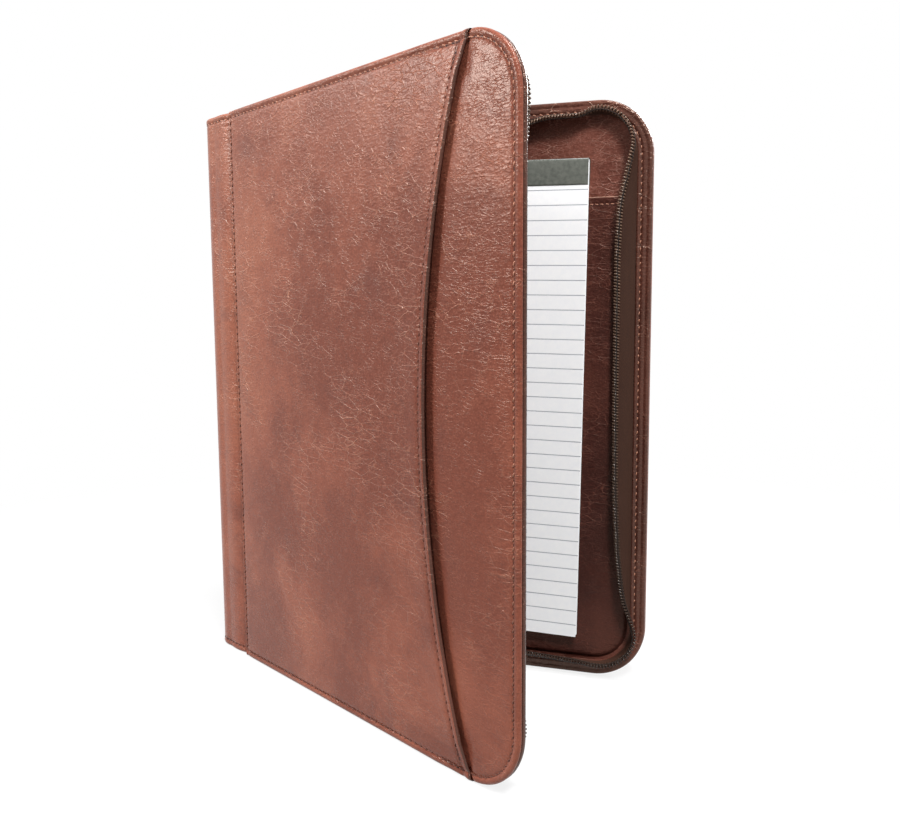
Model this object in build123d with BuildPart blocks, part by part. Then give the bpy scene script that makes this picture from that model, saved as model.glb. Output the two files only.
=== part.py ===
from build123d import *
import math
import os

os.makedirs("parts", exist_ok=True)

# Zip-around padfolio standing open on its bottom edges. Millimetres, Z up.
# The origin is the middle of the back cover's bottom edge, halfway through its turned edge.
# Each cover has its own plane with u across from the fold, v up, and depths measured inward
# from the outer face of the hinge leather.

# The pad that the case is made round, and the cover's margins beside it
pad_width = 216.0
pad_height = 279.4
pad_stack = 4.0
fold_margin = 4.0
edge_margin = 38.0
foot_margin = 23.0
head_margin = 33.6

# Covers
corner_radius = 31.0
opening_angle = 28.0

# Layers of a cover, outside to inside
leather = 0.9
padding = 0.6
board = 1.5
lining = 0.5
tape = 0.5
facing = 0.8
rim_width = 9.0
layer_gap = 0.1
cut_margin = 5.0

# Spine
spine_radius = 15.0
spine_padding = 1.0
fold_clearance = 0.35

# Seams of the hinge leather and the front slip pocket
seam_offset = 20.5
strip_reach = 25.0
pocket_leather = 1.2
pocket_hem = 0.5
pocket_hem_width = 8.0
mouth_inset = 29.5
mouth_sag = 28.0

# Zip
zip_start = 10.0
flange_inset = 1.2
coil_start = 14.0
coil_thick = 2.4
coil_height = 3.0
coil_gap = 2.2
coil_pitch = 2.5
tooth_depth = 1.2
stop_length = 2.4
slider_at = 28.0
slider_length = 13.0
slider_plate = 1.2
slider_wall = 1.0
slider_clearance = 0.4
tape_slot = 1.1
pull_length = 27.0
pull_width = 6.4
pull_thick = 1.4
pull_play = 0.25
bail_width = 2.0
bail_bar = 1.0
bail_reach = 2.5
tag_hole_length = 7.0
tag_hole_width = 2.4

# Pad and its pocket
pad_backing = 0.7
binding = 0.4
binding_height = 15.0
pad_clearance = 0.1
pocket_panel = 0.7
pocket_depth = 0.9
pocket_reveal = 5.4
pocket_inset = 10.4
seam_allowance = 2.6
pocket_side_seam = 6.0

# Organiser inside the front cover
document_share = 0.64
document_seam = 5.0
card_width = 105.0
card_height = 46.0
card_seam = 4.0
card_left = 22.0
card_low = 62.0
card_step = 66.0
card_panel = 0.6
card_depth = 1.0

# Pen loop on the spine lining
loop_radius = 6.5
loop_band = 0.9
loop_height = 26.0
loop_low = 150.0

# Sizes worked out from the pad
cover_width = fold_margin + pad_width + edge_margin
cover_height = foot_margin + pad_height + head_margin
pad_left = fold_margin
pad_right = pad_left + pad_width
pad_bottom = foot_margin
pad_top = pad_bottom + pad_height
pocket_top = pad_top - binding_height - pocket_reveal
document_top = document_share * cover_height
mouth_end = cover_width - mouth_inset

# Depths built up from the layers
board_depth = leather + padding
lining_depth = board_depth + board
flange_depth = lining_depth + lining
facing_depth = flange_depth + tape
rim_depth = facing_depth + facing
middle_depth = spine_radius
coil_depth = middle_depth - coil_gap / 2 - coil_height
tape_inset = rim_width + tape / 2
coil_bend = corner_radius - tape_inset
tooth_gap = 0.9 * coil_pitch * (1 - coil_thick / 2 / coil_bend)
fold_radius = leather / 2
fold_setback = fold_radius + fold_clearance
edge_middle = flange_depth / 2
axis_span = 2 * (spine_radius - fold_radius)

# Planes of the two covers and the spine
half = math.radians(opening_angle / 2)
whole = math.radians(opening_angle)
back_axis = (-cover_width / 2, edge_middle - fold_radius)
front_axis = (back_axis[0] - axis_span * math.sin(half), back_axis[1] - axis_span * math.cos(half))
spine_centre = ((back_axis[0] + front_axis[0]) / 2, (back_axis[1] + front_axis[1]) / 2)
front_out = (-math.sin(whole), -math.cos(whole))
front_along = (math.cos(whole), -math.sin(whole))
front_origin = (front_axis[0] + fold_radius * front_out[0], front_axis[1] + fold_radius * front_out[1])
back_plane = Plane(origin=(back_axis[0], edge_middle, 0), x_dir=(1, 0, 0), z_dir=(0, -1, 0))
front_plane = Plane(origin=(*front_origin, 0), x_dir=(*front_along, 0), z_dir=(*front_out, 0))
spine_plane = Plane(origin=(*spine_centre, 0), x_dir=(-math.cos(half), math.sin(half), 0), z_dir=(0, 0, 1))


class Cover:
    def __init__(self, name, plane, inward):
        self.name = name
        self.plane = plane
        self.inward = inward

    def at(self, depth):
        return self.plane.offset(self.inward * depth)

    def fill(self, thick, mode=Mode.ADD):
        extrude(amount=self.inward * thick, mode=mode)


back = Cover("back", back_plane, 1)
front = Cover("front", front_plane, -1)


def save(builder, name):
    builder.part.label = name
    export_step(builder.part, "parts/" + name + ".step")


def outline(inset, start, mode=Mode.ADD):
    right = cover_width - inset
    top = cover_height - inset
    with BuildLine() as path:
        FilletPolyline((start, inset), (right, inset), (right, top), (start, top), radius=corner_radius - inset)
        Line((start, top), (start, inset))
    make_face(path.edges(), mode=mode)


def band(outer, inner, start):
    outline(outer, start)
    outline(inner, start - cut_margin, mode=Mode.SUBTRACT)


def block(left, low, right, high, mode=Mode.ADD):
    with Locations(((left + right) / 2, (low + high) / 2)):
        Rectangle(right - left, high - low, mode=mode)


def rim_edges(builder, cover, depth, start):
    found = ShapeList()
    for edge in builder.edges():
        at = cover.plane.to_local_coords(edge.center())
        if abs(at.Z - cover.inward * depth) < 0.02 and at.X > start + 0.5:
            found.append(edge)
    return found


# Zip teeth: a comb along each straight run, and notches that point at the centre of each corner
corner_turns = (
    ((cover_width - corner_radius, corner_radius), -90),
    ((cover_width - corner_radius, cover_height - corner_radius), 0),
)


def coil_side(cover, across, up, along):
    origin = cover.at(coil_depth).from_local_coords((across, up, 0))
    return Plane(origin=origin, x_dir=along, z_dir=along.cross(cover.plane.z_dir * cover.inward))


def comb(length):
    count = round(length / coil_pitch)
    step = length / count
    points = [(0, 0), (0, coil_height)]
    for number in range(count):
        points.append(((number + 0.5) * step, coil_height - tooth_depth))
        points.append(((number + 1) * step, coil_height))
    points += [(length, 0), (0, 0)]
    with BuildLine() as profile:
        Polyline(*points)
    make_face(profile.edges())


def corner_gaps(cover):
    count = round(coil_bend * math.pi / 2 / coil_pitch)
    inward = cover.plane.z_dir * cover.inward
    tip = cover.at(coil_depth + coil_height)
    places = []
    for centre, first in corner_turns:
        for number in range(count):
            angle = math.radians(first + (number + 0.5) * 90 / count)
            outward = cover.plane.x_dir * math.cos(angle) + cover.plane.y_dir * math.sin(angle)
            origin = tip.from_local_coords((*centre, 0)) + outward * (coil_bend - coil_thick)
            places.append(Plane(origin=origin, x_dir=inward.cross(outward), z_dir=outward))
    return places


# Layers that both covers share
for cover in (back, front):
    with BuildPart() as cover_board:
        with BuildSketch(cover.at(board_depth)):
            outline(leather + layer_gap, fold_setback)
        cover.fill(board)
    save(cover_board, cover.name + "_cover_board")

    with BuildPart() as cover_lining:
        with BuildSketch(cover.at(lining_depth)):
            outline(leather + layer_gap, fold_setback)
        cover.fill(lining)
    save(cover_lining, cover.name + "_lining")

    with BuildPart() as rim_facing:
        with BuildSketch(cover.at(facing_depth)):
            band(0.3, rim_width, fold_setback)
        cover.fill(facing)
        chamfer(rim_edges(rim_facing, cover, rim_depth, fold_setback), facing * 0.4)
    save(rim_facing, cover.name + "_rim_facing")

    with BuildPart() as zip_tape:
        with BuildSketch(cover.at(flange_depth)):
            band(flange_inset, rim_width + tape, zip_start)
        cover.fill(tape)
        with BuildSketch(cover.at(facing_depth)):
            band(rim_width, rim_width + tape, zip_start)
        cover.fill(coil_depth - facing_depth)
    save(zip_tape, cover.name + "_zip_tape")

    with BuildPart() as zip_coil:
        for level in (tape_inset, cover_height - tape_inset):
            with BuildSketch(coil_side(cover, coil_start, level, cover.plane.x_dir)):
                comb(cover_width - corner_radius - coil_start)
            extrude(amount=coil_thick / 2, both=True)
        with BuildSketch(coil_side(cover, cover_width - tape_inset, corner_radius, cover.plane.y_dir)):
            comb(cover_height - 2 * corner_radius)
        extrude(amount=coil_thick / 2, both=True)
        for centre, first in corner_turns:
            with BuildSketch(cover.at(coil_depth)):
                with BuildLine():
                    outer = CenterArc(centre, coil_bend + coil_thick / 2, first, 90)
                    inner = CenterArc(centre, coil_bend - coil_thick / 2, first, 90)
                    Line(outer @ 0, inner @ 0)
                    Line(outer @ 1, inner @ 1)
                make_face()
            cover.fill(coil_height)
        with BuildSketch(*corner_gaps(cover)):
            with BuildLine():
                Polyline((-tooth_gap / 2, 0), (0, -tooth_depth), (tooth_gap / 2, 0), (-tooth_gap / 2, 0))
            make_face()
        extrude(amount=2 * coil_thick, mode=Mode.SUBTRACT)
    save(zip_coil, cover.name + "_zip_coil")

    with BuildPart() as zip_stops:
        with BuildSketch(cover.at(coil_depth)):
            for level in (tape_inset, cover_height - tape_inset):
                with Locations((coil_start - stop_length / 2 - layer_gap, level)):
                    Rectangle(stop_length, coil_thick)
            chamfer(vertices(), coil_thick / 5)
        cover.fill(coil_height)
    save(zip_stops, cover.name + "_zip_stops")

# Hinge leather: the parts of the spine panel that lie on each cover
for cover, wall_end in ((back, seam_offset - layer_gap), (front, strip_reach)):
    with BuildPart() as hinge_strip:
        with BuildSketch(cover.plane):
            block(fold_setback, leather + layer_gap, strip_reach, cover_height - leather - layer_gap)
        cover.fill(leather)
        with BuildSketch(cover.plane):
            block(fold_setback, 0, wall_end, leather)
            block(fold_setback, cover_height - leather, wall_end, cover_height)
        cover.fill(flange_depth)
        with BuildSketch(cover.plane):
            block(fold_setback, 0, wall_end, leather + layer_gap)
            block(fold_setback, cover_height - leather - layer_gap, wall_end, cover_height)
        cover.fill(leather)
    save(hinge_strip, cover.name + "_hinge_strip")

# Back cover: one leather panel lapped over the hinge leather and turned up round three edges
with BuildPart() as back_cover_skin:
    with BuildSketch(back.at(-leather)):
        outline(0, seam_offset)
    back.fill(leather + flange_depth)
    with BuildSketch(back.at(0)):
        outline(leather, seam_offset - cut_margin)
    back.fill(flange_depth, mode=Mode.SUBTRACT)
    fillet(rim_edges(back_cover_skin, back, -leather, seam_offset), leather)
save(back_cover_skin, "back_cover_skin")

with BuildPart() as back_cover_padding:
    with BuildSketch(back.at(0)):
        outline(leather + layer_gap, strip_reach + layer_gap)
    back.fill(board_depth)
save(back_cover_padding, "back_cover_padding")

# Front cover: base leather, and the slip pocket lapped over both it and the hinge leather
with BuildPart() as front_cover_skin:
    with BuildSketch(front.at(0)):
        outline(0, strip_reach + layer_gap)
    front.fill(flange_depth)
    with BuildSketch(front.at(leather)):
        outline(leather, strip_reach - cut_margin)
    front.fill(flange_depth - leather, mode=Mode.SUBTRACT)
    fillet(rim_edges(front_cover_skin, front, 0, strip_reach), leather)
save(front_cover_skin, "front_cover_skin")

with BuildPart() as front_cover_padding:
    with BuildSketch(front.at(leather)):
        outline(leather + layer_gap, strip_reach + layer_gap)
    front.fill(padding)
save(front_cover_padding, "front_cover_padding")


def mouth(shift):
    low = (mouth_end - shift, 0)
    middle = (mouth_end - mouth_sag - shift, cover_height / 2)
    high = (mouth_end - shift, cover_height)
    return ThreePointArc(low, middle, high)


with BuildPart() as front_pocket:
    with BuildSketch(front.at(-pocket_leather)):
        with BuildLine():
            mouth(0)
            Polyline((mouth_end, cover_height), (seam_offset, cover_height), (seam_offset, 0), (mouth_end, 0))
        make_face()
    front.fill(pocket_leather)
    with BuildSketch(front.at(-pocket_leather - pocket_hem)):
        with BuildLine():
            mouth(0)
            Line((mouth_end, cover_height), (mouth_end - pocket_hem_width, cover_height))
            mouth(pocket_hem_width)
            Line((mouth_end - pocket_hem_width, 0), (mouth_end, 0))
        make_face()
    front.fill(pocket_hem)
save(front_pocket, "front_pocket")

# Spine: leather, soft stiffener and lining bent round a half circle
with BuildPart() as spine_wrap:
    with BuildSketch(spine_plane):
        Circle(spine_radius)
        Circle(spine_radius - leather, mode=Mode.SUBTRACT)
        block(-2 * spine_radius, -2 * spine_radius, 0, 2 * spine_radius, mode=Mode.SUBTRACT)
        with Locations((0, axis_span / 2), (0, -axis_span / 2)):
            Circle(fold_radius)
    extrude(amount=cover_height)
save(spine_wrap, "spine_wrap")

stiffener_radius = spine_radius - leather - layer_gap
with BuildPart() as spine_stiffener:
    with BuildSketch(spine_plane.offset(leather)):
        Circle(stiffener_radius)
        Circle(stiffener_radius - spine_padding, mode=Mode.SUBTRACT)
        block(-2 * spine_radius, -2 * spine_radius, 2 * fold_setback, 2 * spine_radius, mode=Mode.SUBTRACT)
    extrude(amount=cover_height - 2 * leather)
save(spine_stiffener, "spine_stiffener")

spine_lining_radius = stiffener_radius - spine_padding - layer_gap
with BuildPart() as spine_lining:
    with BuildSketch(spine_plane):
        Circle(spine_lining_radius)
        Circle(spine_lining_radius - lining, mode=Mode.SUBTRACT)
        block(-2 * spine_radius, -2 * spine_radius, fold_setback, 2 * spine_radius, mode=Mode.SUBTRACT)
    extrude(amount=cover_height)
save(spine_lining, "spine_lining")

with BuildPart() as pen_loop:
    with BuildSketch(spine_plane.offset(loop_low)):
        with Locations((spine_lining_radius - lining - layer_gap - loop_radius, 0)):
            Circle(loop_radius)
            Circle(loop_radius - loop_band, mode=Mode.SUBTRACT)
    extrude(amount=loop_height)
save(pen_loop, "pen_loop")

# Pad pocket: a panel held off the lining by its sewn edges, open along the top
pocket_floor = flange_depth
pocket_face = pocket_floor + pocket_depth
with BuildPart() as pad_pocket:
    with BuildSketch(back.at(pocket_floor)):
        outline(pocket_inset, fold_setback)
        block(0, pocket_top, cover_width, cover_height, mode=Mode.SUBTRACT)
    back.fill(pocket_depth + pocket_panel)
    with BuildSketch(back.at(pocket_floor)):
        outline(pocket_inset + pocket_side_seam, fold_setback + seam_allowance)
        block(0, pocket_top + cut_margin, cover_width, cover_height, mode=Mode.SUBTRACT)
        block(0, 0, cover_width, pad_bottom - pad_clearance, mode=Mode.SUBTRACT)
    back.fill(pocket_depth, mode=Mode.SUBTRACT)
save(pad_pocket, "pad_pocket")

# Pad: the backing goes behind the pocket panel and the sheets hang in front of it
backing_depth = pocket_floor + pad_clearance
sheets_depth = pocket_face + pocket_panel + pad_clearance
with BuildPart() as pad_back:
    with BuildSketch(back.at(backing_depth)):
        block(pad_left, pad_bottom, pad_right, pad_top)
    back.fill(pad_backing)
save(pad_back, "pad_backing")

with BuildPart() as pad_sheets:
    with BuildSketch(back.at(sheets_depth)):
        block(pad_left, pad_bottom, pad_right, pad_top)
    back.fill(pad_stack)
save(pad_sheets, "pad_sheets")

with BuildPart() as pad_binding:
    with BuildSketch(back.at(sheets_depth + pad_stack)):
        block(pad_left, pad_top - binding_height, pad_right, pad_top + binding)
    back.fill(binding)
    with BuildSketch(back.at(backing_depth)):
        block(pad_left, pad_top, pad_right, pad_top + binding)
    back.fill(sheets_depth + pad_stack - backing_depth)
    with BuildSketch(back.at(backing_depth + pad_backing)):
        block(pad_left, pad_top - binding_height, pad_right, pad_top)
    back.fill(sheets_depth - backing_depth - pad_backing)
save(pad_binding, "pad_binding")

# Organiser inside the front cover
document_face = flange_depth + pocket_depth
with BuildPart() as document_pocket:
    with BuildSketch(front.at(flange_depth)):
        outline(pocket_inset, fold_setback)
        block(0, document_top, cover_width, cover_height, mode=Mode.SUBTRACT)
    front.fill(pocket_depth + pocket_panel)
    with BuildSketch(front.at(flange_depth)):
        outline(pocket_inset + document_seam, fold_setback + document_seam)
        block(0, document_top + cut_margin, cover_width, cover_height, mode=Mode.SUBTRACT)
    front.fill(pocket_depth, mode=Mode.SUBTRACT)
save(document_pocket, "document_pocket")

card_floor = document_face + pocket_panel
for name, low in (("lower", card_low), ("upper", card_low + card_step)):
    with BuildPart() as card_pocket:
        with BuildSketch(front.at(card_floor)):
            block(card_left, low, card_left + card_width, low + card_height)
        front.fill(card_depth + card_panel)
        with BuildSketch(front.at(card_floor)):
            card_right = card_left + card_width - card_seam
            block(card_left + card_seam, low + card_seam, card_right, low + card_height + cut_margin)
        front.fill(card_depth, mode=Mode.SUBTRACT)
    save(card_pocket, "card_pocket_" + name)

# Slider: two plates on a wedge, side walls closing round the coil, and an arched bail on top
slider_plane = Plane(
    origin=(slider_at - cover_width / 2, edge_middle - middle_depth, cover_height - tape_inset),
    x_dir=(1, 0, 0),
    z_dir=(0, 0, 1),
)
plate_low = coil_thick / 2 + slider_clearance
plate_high = plate_low + slider_plate
wall_in = coil_gap / 2 + coil_height + slider_clearance
slider_width = 2 * (wall_in + slider_wall)
wedge_half = coil_gap / 2 - slider_clearance
bail_inside = pull_thick + 2 * pull_play
bail_high = plate_high + bail_inside
wall_length = slider_length - 2.5
wedge_tip = slider_length / 2 - 0.4
with BuildPart() as zip_slider:
    for level in (plate_low, -plate_high):
        with BuildSketch(slider_plane.offset(level)):
            RectangleRounded(slider_length, slider_width, 2.2)
        extrude(amount=slider_plate)
    for level in (tape_slot / 2, -plate_low):
        with BuildSketch(slider_plane.offset(level)):
            with Locations((-0.6, wall_in + slider_wall / 2), (-0.6, -wall_in - slider_wall / 2)):
                Rectangle(wall_length, slider_wall)
        extrude(amount=plate_low - tape_slot / 2)
    with BuildSketch(slider_plane.offset(-plate_low)):
        with BuildLine():
            Polyline((0, 0), (wedge_tip / 2, wedge_half), (wedge_tip, 0), (wedge_tip / 2, -wedge_half), (0, 0))
        make_face()
    extrude(amount=2 * plate_low)
    with BuildSketch(Plane(origin=slider_plane.origin, x_dir=(1, 0, 0), z_dir=(0, -1, 0))):
        block(-bail_reach - bail_bar, plate_high, bail_reach + bail_bar, bail_high + bail_bar)
        fillet(vertices().group_by(Axis.Y)[-1], bail_bar)
        block(-bail_reach, plate_high, bail_reach, bail_high, mode=Mode.SUBTRACT)
    extrude(amount=bail_width / 2, both=True)
save(zip_slider, "zip_slider")

# Pull: a tab whose round end bar turns inside the bail
pull_axis = plate_high + bail_inside / 2
pull_bar = pull_thick / 2
eye_end = bail_reach + bail_bar + 2.1
eye_half = bail_width / 2 + 0.7
with BuildPart() as zip_pull:
    with BuildSketch(slider_plane.offset(pull_axis - pull_bar)):
        block(0, -pull_width / 2, pull_length, pull_width / 2)
        fillet(vertices().group_by(Axis.X)[-1], pull_width / 2 - 0.2)
        block(pull_bar, -eye_half, eye_end, eye_half, mode=Mode.SUBTRACT)
        with Locations((pull_length - pull_width / 2 - 1, 0)):
            SlotOverall(tag_hole_length, tag_hole_width, mode=Mode.SUBTRACT)
    extrude(amount=pull_thick)
    bar_plane = Plane(origin=slider_plane.offset(pull_axis).origin, x_dir=(1, 0, 0), z_dir=(0, -1, 0))
    with BuildSketch(bar_plane):
        Circle(pull_bar)
    extrude(amount=pull_width / 2, both=True)
save(zip_pull, "zip_pull")
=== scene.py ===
# %% [markdown]
# A zip-around padfolio stands open on its bottom edges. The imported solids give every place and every
# moving body, and this lesson dresses them in leather, thread, woven tape and paper. The frame is
# loaded first, because each piece is then made where its solid already is.

# %% Load the frame
import math

import bmesh
import bpy
import numpy as np
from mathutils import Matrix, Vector


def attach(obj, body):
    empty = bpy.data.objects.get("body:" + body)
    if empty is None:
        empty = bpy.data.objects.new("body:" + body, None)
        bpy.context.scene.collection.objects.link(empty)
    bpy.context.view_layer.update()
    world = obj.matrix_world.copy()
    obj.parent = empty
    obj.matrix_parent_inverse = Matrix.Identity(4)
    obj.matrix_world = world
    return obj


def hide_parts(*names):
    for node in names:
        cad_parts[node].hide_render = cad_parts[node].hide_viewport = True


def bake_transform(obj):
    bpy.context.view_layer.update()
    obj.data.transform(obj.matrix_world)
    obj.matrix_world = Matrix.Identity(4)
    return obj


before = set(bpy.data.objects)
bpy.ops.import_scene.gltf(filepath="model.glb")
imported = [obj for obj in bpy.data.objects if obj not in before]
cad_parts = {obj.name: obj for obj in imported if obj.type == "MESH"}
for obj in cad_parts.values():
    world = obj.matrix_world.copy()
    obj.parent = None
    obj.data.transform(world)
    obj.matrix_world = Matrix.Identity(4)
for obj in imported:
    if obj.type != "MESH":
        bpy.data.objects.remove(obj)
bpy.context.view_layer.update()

# %% [markdown]
# The camera comes next, so that every later choice can be seen from the right place. A camera could
# be nudged by eye, but here its place and lens come from fitting the covers' straight edges, so the
# perspective of the standing book is right. The shift only moves the picture on the sensor.

# %% Camera
MM = 0.001
eye = bpy.data.objects.new("eye", bpy.data.cameras.new("eye"))
eye.data.sensor_width = 36.0
eye.data.lens = 33.27
eye.data.shift_x = -0.0556
eye.data.shift_y = -0.0058
eye.data.clip_start = 0.01
eye.location = (180.8 * MM, -481.6 * MM, 215.0 * MM)
eye.rotation_euler = (math.radians(90 - 6.0), 0, math.radians(16.38))
bpy.context.collection.objects.link(eye)
bpy.context.scene.camera = eye
bpy.context.scene.view_settings.view_transform = "Standard"
print("lens", eye.data.lens, "mm, seen from", tuple(round(x, 3) for x in eye.location))

# %% [markdown]
# Each cover is easiest to think about lying flat: u runs across from the fold, v runs up, and depth
# runs inward from the outer face. Two small functions turn those numbers into places in the frame,
# so the same panel code can dress both covers.

# %% Covers as flat sheets
cover_width = 258.0
cover_height = 336.0
corner_radius = 31.0
opening = math.radians(28.0)
spine_radius = 15.0
fold_radius = 0.45
edge_middle = 1.75
seam_at = 20.5

back_fold = np.array([-cover_width / 2, edge_middle - fold_radius])
fold_span = 2 * (spine_radius - fold_radius)
front_fold = back_fold - fold_span * np.array([math.sin(opening / 2), math.cos(opening / 2)])
spine_middle = (back_fold + front_fold) / 2
front_out = np.array([-math.sin(opening), -math.cos(opening)])
front_along = np.array([math.cos(opening), -math.sin(opening)])
front_corner = front_fold + fold_radius * front_out


def on_back(u, v, depth):
    u, v, depth = np.broadcast_arrays(*(np.asarray(x, float) for x in (u, v, depth)))
    return np.stack([u - cover_width / 2, edge_middle - depth, v], -1) * MM


def on_front(u, v, depth):
    u, v, depth = np.broadcast_arrays(*(np.asarray(x, float) for x in (u, v, depth)))
    flat = front_corner + u[..., None] * front_along - depth[..., None] * front_out
    return np.concatenate([flat, v[..., None]], -1) * MM


covers = {"back": (on_back, "back_cover"), "front": (on_front, "front_cover")}
print("front cover starts at", np.round(front_corner, 2), "mm")

# %% [markdown]
# Finishes are built from small nodes that repeat, so a few helpers keep them readable: one puts a
# node in the tree, some do arithmetic, one mixes two colours, one makes a colour ramp and the last
# joins colour, roughness and bumps to the surface. A socket knows which tree it is in, so most of them
# only need sockets. Colours are written as eight-bit values and turned into linear light.

# %% Helpers for finishes
def shade(red, green, blue):
    return (*(((c / 255 + 0.055) / 1.055) ** 2.4 for c in (red, green, blue)), 1.0)


def feed(socket, value):
    if isinstance(value, bpy.types.NodeSocket):
        socket.id_data.links.new(value, socket)
    else:
        socket.default_value = value


def put(tree, kind, settings=None, **inputs):
    made = tree.nodes.new("ShaderNode" + kind)
    for key, value in (settings or {}).items():
        setattr(made, key, value)
    for key, value in inputs.items():
        feed(made.inputs[key], value)
    return made


def start_finish(name):
    finish = bpy.data.materials.new(name)
    finish.use_nodes = True
    tree = finish.node_tree
    return finish, tree, put(tree, "TexCoord").outputs


def calc(kind, *values, clamp=False):
    tree = next(value.id_data for value in values if isinstance(value, bpy.types.NodeSocket))
    made = put(tree, "Math", {"operation": kind, "use_clamp": clamp})
    for socket, value in zip(made.inputs, values):
        feed(socket, value)
    return made.outputs[0]


def times(one, other):
    return calc("MULTIPLY", one, other)


def plus(one, other, clamp=False):
    return calc("ADD", one, other, clamp=clamp)


def minus(one, other):
    return calc("SUBTRACT", one, other)


def mixed(amount, low, high):
    made = put(amount.id_data, "Mix", {"data_type": "RGBA"})
    for place, value in ((0, amount), (6, low), (7, high)):
        feed(made.inputs[place], value)
    return made.outputs[2]


def ramp(amount, *stops):
    made = put(amount.id_data, "ValToRGB", Fac=amount)
    band = made.color_ramp
    while len(band.elements) < len(stops):
        band.elements.new(0.5)
    for element, (place, value) in zip(band.elements, stops):
        element.position = place
        element.color = value if isinstance(value, tuple) else (value, value, value, 1)
    return made.outputs[0]


def noise(where, scale, detail=4.0, roughness=0.55, distortion=0.0):
    dials = {"Scale": scale, "Detail": detail, "Roughness": roughness, "Distortion": distortion}
    return put(where.id_data, "TexNoise", Vector=where, **dials).outputs[0]


def cells(where, scale, kind="F1"):
    return put(where.id_data, "TexVoronoi", {"feature": kind}, Vector=where, Scale=scale).outputs["Distance"]


def axis(where, number):
    return put(where.id_data, "SeparateXYZ", Vector=where).outputs[number]


def surface(tree, colour, rough, shine, *bumps):
    shader = tree.nodes["Principled BSDF"]
    normal = shader.inputs["Normal"]
    for height, strength, distance in bumps[::-1]:
        made = put(tree, "Bump", Strength=strength, Distance=distance, Height=height)
        feed(normal, made.outputs[0])
        normal = made.inputs["Normal"]
    for name, value in (("Base Color", colour), ("Roughness", rough), ("Specular IOR Level", shine)):
        feed(shader.inputs[name], value)
    return shader


print("mid leather in linear light:", [round(c, 3) for c in shade(150, 92, 76)])

# %% [markdown]
# The leather is a waxed bonded hide: cloudy red-brown with purple smudges, a pebble grain finer than
# a millimetre, and clusters of creases where it has been flexed. A photo texture would show the
# same marks wherever it repeats, so clouds, grain and creases are made at their own scales instead.
# The creases are the borders between random cells, stirred a little so they run crooked and broken up
# so they come in patches. Their pale lines and the pale specks on the pebbles are painted highlights,
# the pebbles' borders carry painted shade, and a patch near the middle of the front cover is painted
# darker as painted shade. The object's own coordinates carry them all, so the grain stays on the
# leather when a cover swings.

# %% Leather
painted_shade_place = (0.05, -0.12, 0.13)
warm_shine = (1.0, 0.78, 0.64, 1.0)


def leather(name, gloss, wrinkled, fineness, shine, *colours):
    light, middle, dark, smudge, painted_highlight = (shade(*colour) for colour in colours)
    # the darker brown used for painted shade in the pebble grain's valleys
    valley_shade_colour = tuple(0.4 * c for c in dark[:3]) + (1,)
    finish, tree, charts = start_finish(name)
    where = charts["Object"]
    leaning = put(tree, "Mapping", Vector=where, Rotation=(0.35, 0.5, 0.2), Scale=(0.8, 0.8, 2.2)).outputs[0]
    clouds = noise(where, 15, 5, 0.6, 0.3)
    amount = plus(times(clouds, 0.65), times(noise(where, 6, 2), 0.35))
    # Painted shade: the leather is painted darker near a point by the middle of the front cover.
    shade_reach = put(tree, "VectorMath", {"operation": "DISTANCE"}, Vector=where)
    shade_reach.inputs[1].default_value = painted_shade_place
    painted_shade = ramp(times(shade_reach.outputs["Value"], 5.0), (0.15, 0.15), (0.95, 0.0))
    base = ramp(minus(amount, painted_shade), (0.39, dark), (0.5, middle), (0.61, light))
    spots = ramp(noise(where, 36, 4, 0.6, 0.4), (0.56, 0.0), (0.72, 1.0))
    base = mixed(times(spots, 0.5), base, smudge)

    stir = put(tree, "TexNoise", Vector=where, Scale=260.0, Detail=2.0).outputs["Color"]
    stir = put(tree, "VectorMath", {"operation": "SCALE"}, Vector=stir, Scale=0.0022).outputs[0]
    stirred = put(tree, "VectorMath", {"operation": "ADD"}, Vector=leaning)
    feed(stirred.inputs[1], stir)

    def cracks(scale, width):
        return ramp(cells(stirred.outputs[0], scale, "DISTANCE_TO_EDGE"), (0.0, 1.0), (width, 0.0))

    broken = ramp(noise(where, 150, 3, 0.6), (0.42, 0.0), (0.6, 1.0))
    wrinkle = times(cracks(fineness, 0.09), broken)
    flexed = ramp(noise(where, 26, 5, 0.65), (0.46, 0.05), (0.68, 1.0))
    # upper fades the creases, their painted highlights, the painted glints and the painted valley shade toward the
    # bottom
    upper = ramp(times(axis(where, 2), 3.0), (0.1, 0.45), (0.65, 1.0))
    creases = times(cracks(95, 0.035), times(flexed, upper))
    pebble = cells(where, 800)
    ripple = times(noise(leaning, 300, 2, 0.5), plus(0.3, times(flexed, 0.7)))
    # Painted shade: the borders of the pebble cells are darkened, as shade in the grain's hollows.
    painted_valley_shade = times(ramp(pebble, (0.45, 0.0), (0.8, 1.0)), upper)
    base = mixed(times(painted_valley_shade, 0.25), base, valley_shade_colour)
    # Painted highlight: the pebble centres are lightened toward the highlight colour, standing for specular glints.
    painted_glint = times(ramp(pebble, (0.08, 1.0), (0.3, 0.0)), upper)
    base = mixed(times(painted_glint, 0.16), base, painted_highlight)
    # Painted highlight: the wrinkle and crease lines are lightened toward the highlight colour, standing for glints on
    # their ridges.
    painted_wrinkle_light = times(wrinkle, plus(0.07, times(flexed, 0.22 * wrinkled)))
    base = mixed(times(painted_wrinkle_light, upper), base, painted_highlight)
    base = mixed(times(creases, 0.4), base, painted_highlight)

    rough = minus(plus(gloss, times(clouds, 0.16)), times(wrinkle, 0.06))
    depth = 0.00025 * wrinkled
    grain = ((pebble, 0.3, 0.0002), (ripple, 0.4, 4 * depth), (wrinkle, 0.36, depth), (creases, 0.6, 0.0005))
    surface(tree, base, rough, shine, *grain).inputs["Specular Tint"].default_value = warm_shine
    return finish


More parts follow.
